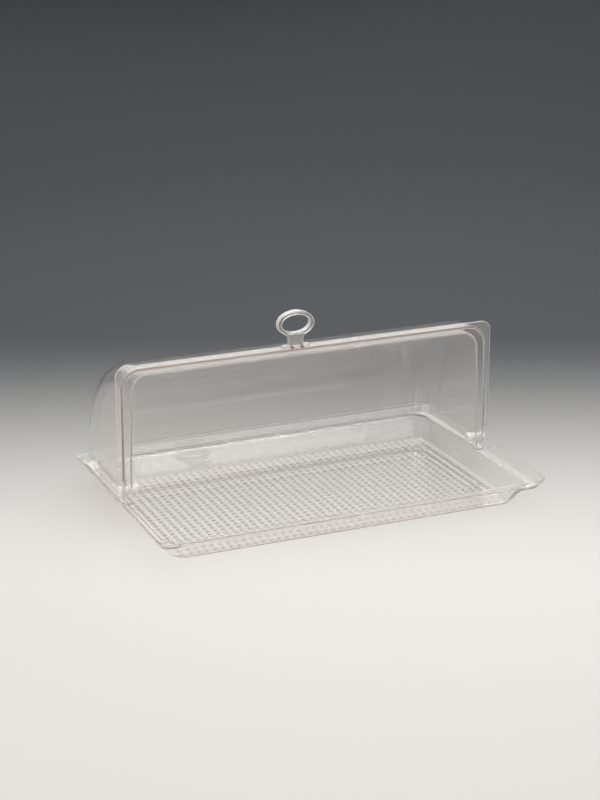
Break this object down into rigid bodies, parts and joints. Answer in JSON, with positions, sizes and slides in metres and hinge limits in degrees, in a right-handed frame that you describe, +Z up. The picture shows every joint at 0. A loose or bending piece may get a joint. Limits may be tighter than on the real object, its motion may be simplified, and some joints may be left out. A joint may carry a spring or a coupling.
{
  "type": "roll top display tray",
  "caption": "Shallow clear plastic serving tray with a clear rear cover standing in it and a clear front cover that rolls back over it, lifted by an upright ring handle.",
  "frame": {"origin": "middle of the tray's footprint, on the surface that it stands on", "axes": "+X to the right seen from the open front, +Y to the back, +Z up; the hinge line runs along X"},
  "size_m": [0.54, 0.34, 0.2563],
  "materials": {
    "tray_plastic": "clear moulded plastic with a dimpled floor",
    "rear_plastic": "clear formed plastic, polished",
    "front_plastic": "clear formed plastic, polished, bright trimmed edges",
    "handle_plastic": "clear moulded plastic with bright edges",
    "pivot_plastic": "clear turned plastic",
    "screw_metal": "small bronze-toned screw head"
  },
  "bodies": {
    "tray": {"tray": "tray_plastic"},
    "hood": {"rear_cover": "rear_plastic", "pivot_pin_left": "pivot_plastic", "pivot_pin_right": "pivot_plastic", "pivot_spacer_left": "pivot_plastic", "pivot_spacer_right": "pivot_plastic", "pivot_washer_left": "pivot_plastic", "pivot_washer_right": "pivot_plastic", "pivot_nut_left": "pivot_plastic", "pivot_nut_right": "pivot_plastic"},
    "lid": {"front_cover": "front_plastic", "ring_handle": "handle_plastic", "handle_screw_left": "screw_metal", "handle_screw_right": "screw_metal"}
  },
  "joints": [
    {"name": "hood_lift", "type": "slide", "parent": "tray", "child": "hood", "axis": [0, 0, 1], "range_m": [0, 0.15]},
    {"name": "lid_roll", "type": "hinge", "parent": "hood", "child": "lid", "pos_m": [0, 0.0015, 0.0445], "axis": [1, 0, 0], "range_deg": [0, 90]}
  ]
}
